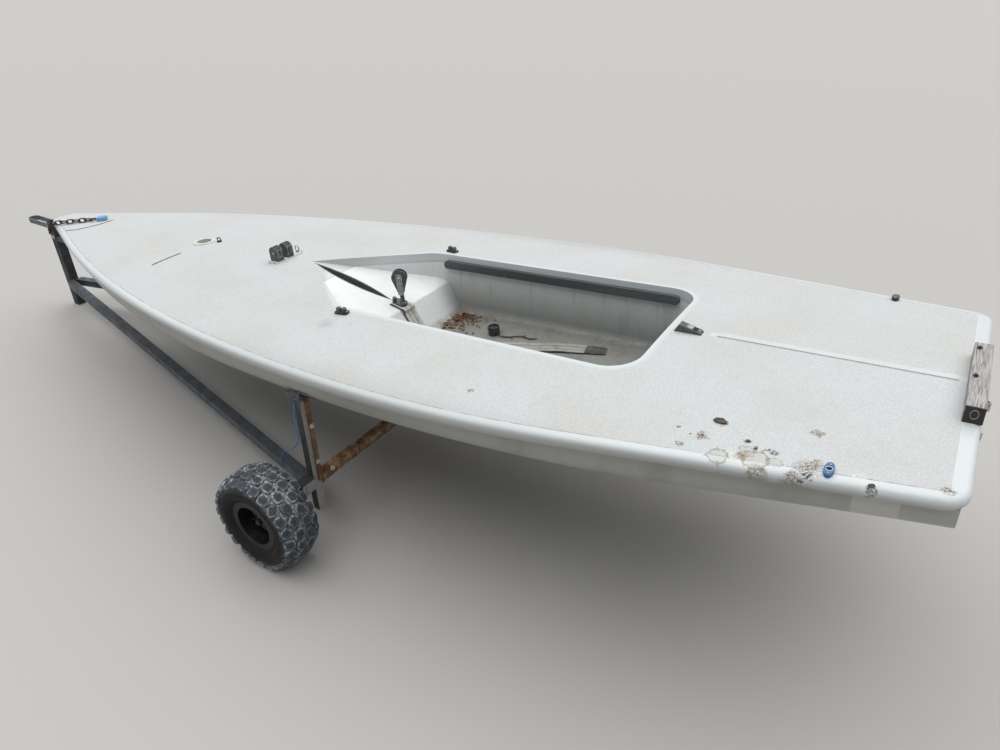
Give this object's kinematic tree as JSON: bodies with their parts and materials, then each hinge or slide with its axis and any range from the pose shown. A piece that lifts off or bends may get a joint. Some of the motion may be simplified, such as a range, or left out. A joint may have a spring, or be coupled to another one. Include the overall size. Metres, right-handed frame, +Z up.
{
  "type": "sailing dinghy on a launching trolley",
  "caption": "Low single-handed sailing dinghy without its mast, deck fittings and cockpit shown, standing on a two-wheeled launching trolley with a front leg.",
  "frame": {"origin": "centre of the whole on the floor the trolley stands on", "axes": "+X toward the bow, +Y to port, +Z up"},
  "size_m": [4.5754, 1.812, 0.8527],
  "materials": {
    "gelcoat_white": "weathered white gelcoat",
    "deck_white": "white gelcoat with a fine non-slip grain",
    "white_plastic": "moulded",
    "grey_plastic": "moulded, faded",
    "black_plastic": "moulded",
    "blue_plastic": "moulded cover",
    "black_rubber": "weathered",
    "stainless": "dull",
    "dark_steel": "dark, rust in the joints",
    "galvanised": "dull zinc with grime",
    "rusty_steel": "brown rust",
    "timber": "bare and weathered",
    "strap_webbing": "faded webbing",
    "black_webbing": "webbing",
    "brown_webbing": "stained webbing",
    "blue_twine": "laid plastic twine",
    "tyre": "weathered block tread",
    "rim_paint": "dark paint, rust at the edges"
  },
  "bodies": {
    "boat_and_trolley": {"hull": "gelcoat_white", "deck": "deck_white", "cockpit_tub": "gelcoat_white", "daggerboard_case": "gelcoat_white", "mast_step": "white_plastic", "mast_eye": "dark_steel", "block_plate": "white_plastic", "turning_blocks": "grey_plastic", "block_eye": "stainless", "side_cleat_bases": "black_plastic", "side_cleat_cams": "grey_plastic", "traveller_cleat": "grey_plastic", "fairleads": "black_plastic", "transom_timber": "timber", "chain": "dark_steel", "padlock": "blue_plastic", "padlock_shackle": "dark_steel", "tie_twine": "blue_twine", "grab_rails": "black_rubber", "mainsheet_base": "stainless", "mainsheet_block": "grey_plastic", "hiking_strap": "strap_webbing", "strap_tail": "black_webbing", "floor_cup": "black_plastic", "gudgeons": "stainless", "drain_plug": "black_plastic", "post": "galvanised", "handle": "galvanised", "bow_arm": "galvanised", "bow_chock": "black_rubber", "drawbar_port": "galvanised", "drawbar_starboard": "galvanised", "uprights": "galvanised", "support_pads": "black_rubber", "sling": "brown_webbing", "braces": "rusty_steel", "axle_beam": "rusty_steel", "axle_brackets": "galvanised", "stub_axles": "stainless", "axle_washers": "stainless"},
    "wheel_port": {"tyre_port": "tyre", "rim_port": "rim_paint"},
    "wheel_starboard": {"tyre_starboard": "tyre", "rim_starboard": "rim_paint"}
  },
  "joints": [
    {"name": "wheel_port_spin", "type": "hinge", "parent": "boat_and_trolley", "child": "wheel_port", "pos_m": [-0.44896, 0.83, 0.17845], "axis": [0, 1, 0], "continuous": true},
    {"name": "wheel_starboard_spin", "type": "hinge", "parent": "boat_and_trolley", "child": "wheel_starboard", "pos_m": [-0.44896, -0.83, 0.17845], "axis": [0, 1, 0], "continuous": true}
  ]
}
